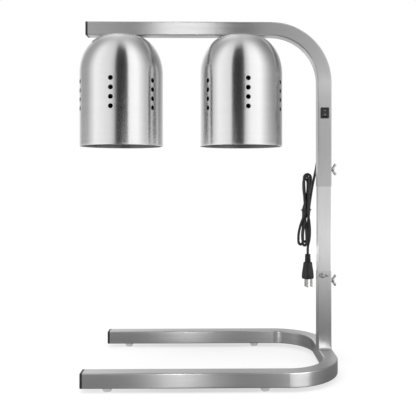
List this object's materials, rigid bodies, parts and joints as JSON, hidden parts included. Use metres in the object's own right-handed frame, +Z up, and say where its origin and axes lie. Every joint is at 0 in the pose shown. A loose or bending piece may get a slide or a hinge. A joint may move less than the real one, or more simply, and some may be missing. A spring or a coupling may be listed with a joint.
{
  "type": "heat lamp warmer",
  "caption": "Free-standing countertop heat lamp: bent square-tube arm with domed steel shades over a flat U-shaped base, on a telescoping clamped post with cord and plug.",
  "frame": {"origin": "bottom centre of the box of the lamp without its cord, on the surface that the feet stand on", "axes": "+Z up, front towards -Y, +X towards the post, with the arm and legs pointing towards -X"},
  "size_m": [0.5288, 0.326, 0.706],
  "materials": {
    "tube_steel": "satin",
    "mast_steel": "satin",
    "shade_steel": "satin",
    "weld": "satin",
    "cap_black": "matte",
    "foot_pale": "satin",
    "zinc": "satin",
    "switch_black": "gloss",
    "brass": "satin",
    "porcelain": "gloss",
    "bulb_cap": "satin",
    "bulb_glass": "satin",
    "wire_jacket": "satin",
    "cord_black": "satin",
    "nickel": "satin"
  },
  "bodies": {
    "base": {"base_frame": "tube_steel", "base_post": "tube_steel", "post_welds": "weld", "leg_cap_front": "cap_black", "leg_cap_back": "cap_black", "foot_front_left": "foot_pale", "foot_front_right": "foot_pale", "foot_back_left": "foot_pale", "foot_back_right": "foot_pale", "foot_screws": "zinc", "foot_rivet_nuts": "zinc", "side_screw_nut": "zinc", "front_screw_nut": "zinc"},
    "mast": {"mast_tube": "mast_steel"},
    "head": {"head_tube": "tube_steel", "arm_cap": "cap_black", "head_screw_nut": "zinc", "switch_housing": "switch_black", "switch_terminals": "brass", "shade_left": "shade_steel", "shade_right": "shade_steel", "nipple_left": "zinc", "nipple_right": "zinc", "shade_washer_left": "zinc", "shade_washer_right": "zinc", "socket_left": "porcelain", "socket_right": "porcelain", "socket_shell_left": "brass", "socket_shell_right": "brass", "socket_contact_left": "brass", "socket_contact_right": "brass", "lamp_wire_left": "wire_jacket", "lamp_wire_right": "wire_jacket", "lock_nuts": "zinc", "wire_connectors": "wire_jacket", "supply_wire": "wire_jacket", "strain_relief": "cord_black", "cord_lead": "cord_black", "cord_hank": "cord_black", "cord_tie": "cord_black", "cord_tail": "cord_black", "plug_body": "cord_black", "plug_blades": "nickel", "plug_ground_pin": "nickel"},
    "rocker": {"switch_rocker": "switch_black"},
    "head_screw": {"head_wing_screw": "zinc"},
    "side_screw": {"side_wing_screw": "zinc"},
    "front_screw": {"front_wing_screw": "zinc"},
    "bulb_left": {"bulb_glass_left": "bulb_glass", "bulb_base_left": "bulb_cap"},
    "bulb_right": {"bulb_glass_right": "bulb_glass", "bulb_base_right": "bulb_cap"}
  },
  "joints": [
    {"name": "mast_slide", "type": "slide", "parent": "base", "child": "mast", "axis": [0, 0, 1], "range_m": [-0.03, 0.093]},
    {"name": "head_slide", "type": "slide", "parent": "mast", "child": "head", "axis": [0, 0, 1], "range_m": [-0.041, 0.03]},
    {"name": "rocker_tilt", "type": "hinge", "parent": "head", "child": "rocker", "pos_m": [0.2382, -0.0128, 0.5198], "axis": [1, 0, 0], "range_deg": [0, 20]},
    {"name": "head_screw_turn", "type": "hinge", "parent": "head", "child": "head_screw", "pos_m": [0.2522, 0, 0.4042], "axis": [1, 0, 0], "continuous": true},
    {"name": "side_screw_turn", "type": "hinge", "parent": "base", "child": "side_screw", "pos_m": [0.2522, 0, 0.1753], "axis": [1, 0, 0], "continuous": true},
    {"name": "front_screw_turn", "type": "hinge", "parent": "base", "child": "front_screw", "pos_m": [0.2337, -0.014, 0.187], "axis": [0, -1, 0], "continuous": true},
    {"name": "bulb_left_turn", "type": "hinge", "parent": "head", "child": "bulb_left", "pos_m": [-0.1792, 0, 0.611], "axis": [0, 0, 1], "continuous": true},
    {"name": "bulb_right_turn", "type": "hinge", "parent": "head", "child": "bulb_right", "pos_m": [0.0668, 0, 0.611], "axis": [0, 0, 1], "continuous": true}
  ]
}
